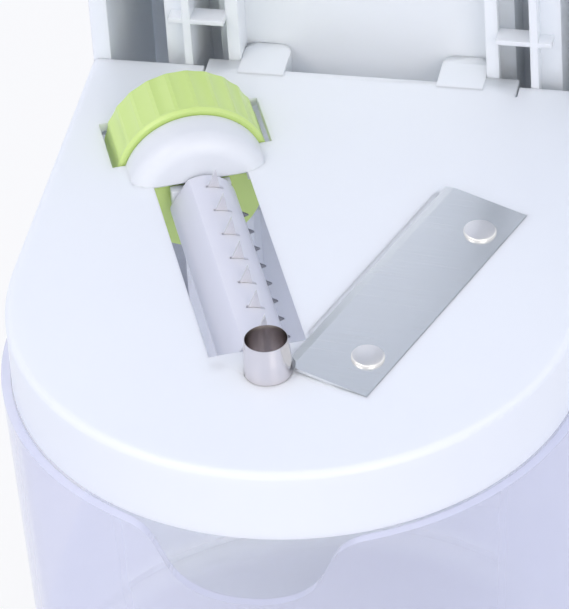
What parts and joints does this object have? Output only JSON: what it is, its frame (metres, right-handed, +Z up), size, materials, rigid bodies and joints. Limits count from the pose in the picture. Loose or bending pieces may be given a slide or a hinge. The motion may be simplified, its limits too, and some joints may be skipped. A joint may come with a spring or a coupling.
{
  "type": "hand cranked upright spiralizer",
  "caption": "Upright hand cranked spiralizer: ribbed column, blade plate with corer ring and a selector drum of toothed strips, clear bowl below, sliding carriage with crank.",
  "frame": {"origin": "bottom centre of the overall box, on the table the feet stand on", "axes": "+X to the right as seen from the front, +Y towards the back where the column stands, +Z up along the column"},
  "size_m": [0.15, 0.2054, 0.3811],
  "materials": {
    "plastic_white": "moulded ABS, semi-gloss",
    "plastic_lime": "moulded ABS, semi-gloss",
    "clear_bowl": "clear moulded plastic, polished",
    "steel": "stainless, brushed along its length",
    "spring_steel": "rolled spring strip",
    "rubber_foot": "matt"
  },
  "bodies": {
    "stand": {"base_foot": "plastic_white", "suction_foot_1": "rubber_foot", "suction_foot_2": "rubber_foot", "suction_foot_3": "rubber_foot", "suction_foot_4": "rubber_foot", "column": "plastic_white", "column_cap": "plastic_white", "column_screws": "steel", "cap_screws": "steel", "plate_screws": "steel", "blade_plate": "plastic_white", "corer_ring": "steel", "ribbon_blade": "steel", "blade_rivets": "steel", "front_bracket": "plastic_white", "bracket_screws": "steel", "detent_spring": "spring_steel", "detent_screw": "steel"},
    "selector": {"selector_drum": "plastic_white", "selector_wheel": "plastic_lime", "wheel_screw": "steel", "coarse_strip": "steel", "medium_strip": "steel", "fine_strip": "steel"},
    "bowl": {"container": "clear_bowl"},
    "feed_carriage": {"carriage": "plastic_white", "brake_spring": "spring_steel", "upper_bushing": "plastic_white", "lower_bushing": "plastic_white"},
    "crank": {"crank_arm": "plastic_white", "crank_screw": "steel", "drive_shaft": "steel", "food_holder": "plastic_white", "holder_screw": "steel", "knob_pin": "steel"},
    "handle": {"crank_knob": "plastic_lime", "knob_cap": "plastic_lime"}
  },
  "joints": [
    {"name": "carriage_slide", "type": "slide", "parent": "stand", "child": "feed_carriage", "axis": [0, 0, 1], "range_m": [-0.128, 0]},
    {"name": "crank_turn", "type": "hinge", "parent": "feed_carriage", "child": "crank", "pos_m": [0, -0.0573, 0.3], "axis": [0, 0, 1], "continuous": true},
    {"name": "knob_turn", "type": "hinge", "parent": "crank", "child": "handle", "pos_m": [0, 0.0147, 0.36], "axis": [0, 0, 1], "continuous": true},
    {"name": "drum_turn", "type": "hinge", "parent": "stand", "child": "selector", "pos_m": [-0.00064, -0.05758, 0.136], "axis": [-0.3923, 0.9198, 0], "continuous": true},
    {"name": "container_slide", "type": "slide", "parent": "stand", "child": "bowl", "axis": [0, -1, 0], "range_m": [0, 0.145]}
  ]
}
